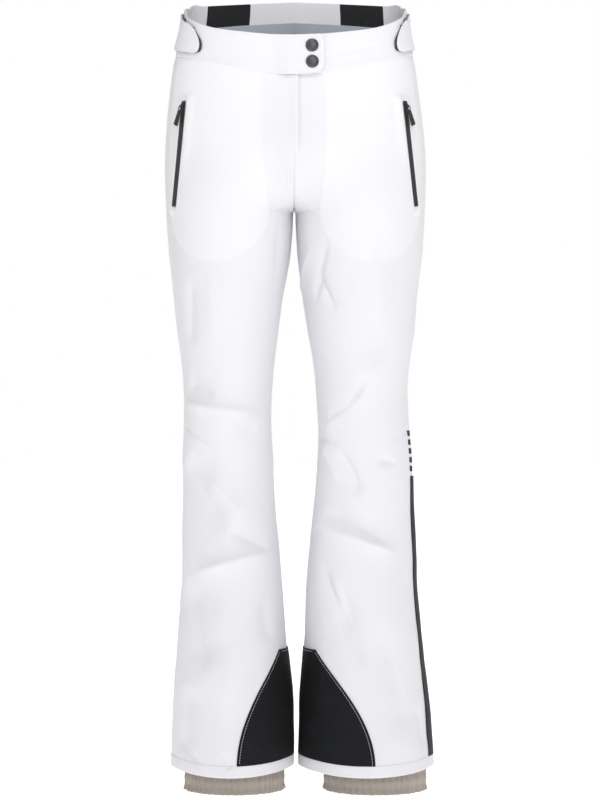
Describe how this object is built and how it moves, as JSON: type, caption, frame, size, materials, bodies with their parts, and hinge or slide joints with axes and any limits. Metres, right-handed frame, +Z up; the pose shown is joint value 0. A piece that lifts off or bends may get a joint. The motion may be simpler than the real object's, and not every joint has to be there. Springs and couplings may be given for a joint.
{
  "type": "ski trousers",
  "caption": "Flared white ski trousers with snapped waist, zipped hip pockets, dark instep guards, a side stripe and gathered snow gaiters.",
  "frame": {"origin": "middle of the waist opening, level with the waistband's top edge at the side seams", "axes": "+Z up towards the wearer's head, the front faces -Y, +X towards the wearer's left leg"},
  "size_m": [0.3691, 0.2293, 1.089],
  "materials": {
    "shell": "white laminated stretch weave, matt with a faint sheen",
    "lining": "blue-grey tricot lining",
    "pocketing": "thin smooth pocket cloth",
    "elastic": "black ribbed elastic",
    "guard": "black coated reinforcement cloth",
    "stripe": "black knit tape",
    "gaiter": "taupe gathered elastic cloth",
    "hook_loop": "black hook and loop",
    "zip_black": "black coated zip",
    "zip_white": "white coil zip",
    "slider_black": "black lacquered slider and rubbery pull",
    "slider_silver": "plain nickel",
    "snap_cap": "dark gunmetal cap with a soft sheen",
    "snap_metal": "blackened brass"
  },
  "bodies": {
    "hips": {"right_hip_front": "shell", "left_hip_front": "shell", "right_hip_back": "shell", "left_hip_back": "shell", "right_waistband": "shell", "left_waistband": "shell", "back_waistband": "shell", "right_elastic_panel": "elastic", "left_elastic_panel": "elastic", "seat_lining": "lining", "right_loop_patch": "hook_loop", "left_loop_patch": "hook_loop", "snap_studs": "snap_metal", "fly_zip_tapes": "zip_white", "fly_zip_coil": "zip_white", "fly_shield": "shell", "right_pocket_tape": "zip_black", "left_pocket_tape": "zip_black", "right_pocket_coil": "zip_black", "left_pocket_coil": "zip_black", "right_pocket_bag": "pocketing", "left_pocket_bag": "pocketing"},
    "waist_tab": {"waist_tab": "shell", "snap_caps": "snap_cap", "snap_sockets": "snap_metal"},
    "fly_flap": {"fly_flap": "shell"},
    "fly_slider": {"fly_slider": "slider_silver", "fly_pull": "slider_silver"},
    "right_pocket_slider": {"right_pocket_slider": "slider_black"},
    "left_pocket_slider": {"left_pocket_slider": "slider_black"},
    "right_pocket_pull": {"right_pocket_pull": "slider_black"},
    "left_pocket_pull": {"left_pocket_pull": "slider_black"},
    "right_adjuster": {"right_adjuster_tab": "shell", "right_hook_patch": "hook_loop"},
    "left_adjuster": {"left_adjuster_tab": "shell", "left_hook_patch": "hook_loop"},
    "right_thigh": {"right_thigh_top": "shell", "right_thigh_front": "shell", "right_thigh_back": "shell", "right_knee": "shell"},
    "left_thigh": {"left_thigh_top": "shell", "left_thigh_front": "shell", "left_thigh_back": "shell", "left_knee": "shell"},
    "right_shin": {"right_calf_front": "shell", "right_calf_back": "shell", "right_hem": "shell", "right_instep_guard": "guard", "right_gaiter": "gaiter"},
    "left_shin": {"left_calf_front": "shell", "left_calf_back": "shell", "left_hem": "shell", "left_instep_guard": "guard", "side_stripe": "stripe", "left_gaiter": "gaiter"},
    "right_cuff": {"right_gaiter_cuff": "gaiter"},
    "left_cuff": {"left_gaiter_cuff": "gaiter"}
  },
  "joints": [
    {"name": "right_hip_bend", "type": "hinge", "parent": "hips", "child": "right_thigh", "pos_m": [-0.09, 0, -0.282], "axis": [-1, 0, 0], "range_deg": [-15, 60], "deforming": ["right_thigh_top"]},
    {"name": "right_knee_bend", "type": "hinge", "parent": "right_thigh", "child": "right_shin", "pos_m": [-0.09, -0.002, -0.573], "axis": [1, 0, 0], "range_deg": [0, 80], "deforming": ["right_knee"]},
    {"name": "right_pocket_slide", "type": "slide", "parent": "hips", "child": "right_pocket_slider", "axis": [-0.0945, 0.0211, -0.9953], "range_m": [0, 0.116]},
    {"name": "right_pull_turn", "type": "hinge", "parent": "right_pocket_slider", "child": "right_pocket_pull", "pos_m": [-0.1536, -0.06461, -0.12185], "axis": [-0.6156, 0.7845, 0.0751], "range_deg": [0, 150]},
    {"name": "right_adjuster_peel", "type": "hinge", "parent": "hips", "child": "right_adjuster", "pos_m": [-0.15791, 0.03888, -0.00964], "axis": [-0.1459, 0.028, -0.9889], "range_deg": [0, 75]},
    {"name": "right_cuff_slide", "type": "slide", "parent": "right_shin", "child": "right_cuff", "axis": [0, 0, 1], "range_m": [0, 0.06], "deforming": ["right_gaiter"]},
    {"name": "left_hip_bend", "type": "hinge", "parent": "hips", "child": "left_thigh", "pos_m": [0.09, 0, -0.282], "axis": [-1, 0, 0], "range_deg": [-15, 60], "deforming": ["left_thigh_top"]},
    {"name": "left_knee_bend", "type": "hinge", "parent": "left_thigh", "child": "left_shin", "pos_m": [0.09, -0.002, -0.573], "axis": [1, 0, 0], "range_deg": [0, 80], "deforming": ["left_knee"]},
    {"name": "left_pocket_slide", "type": "slide", "parent": "hips", "child": "left_pocket_slider", "axis": [0.1079, 0.021, -0.9939], "range_m": [0, 0.116]},
    {"name": "left_pull_turn", "type": "hinge", "parent": "left_pocket_slider", "child": "left_pocket_pull", "pos_m": [0.15442, -0.06464, -0.12173], "axis": [-0.6207, -0.7796, -0.0838], "range_deg": [0, 150]},
    {"name": "left_adjuster_peel", "type": "hinge", "parent": "hips", "child": "left_adjuster", "pos_m": [0.15991, 0.03891, -0.00982], "axis": [-0.1018, -0.0278, 0.9944], "range_deg": [0, 75]},
    {"name": "left_cuff_slide", "type": "slide", "parent": "left_shin", "child": "left_cuff", "axis": [0, 0, 1], "range_m": [0, 0.06], "deforming": ["left_gaiter"]},
    {"name": "waist_tab_open", "type": "hinge", "parent": "hips", "child": "waist_tab", "pos_m": [-0.00952, -0.10158, -0.05561], "axis": [-0.0078, -0.0572, -0.9983], "range_deg": [0, 100]},
    {"name": "fly_open", "type": "hinge", "parent": "hips", "child": "fly_flap", "pos_m": [-0.0462, -0.10299, -0.12849], "axis": [-0.0231, -0.0376, -0.999], "range_deg": [0, 110]},
    {"name": "fly_slide", "type": "slide", "parent": "hips", "child": "fly_slider", "axis": [0, -0.049, -0.9988], "range_m": [0, 0.056]}
  ]
}
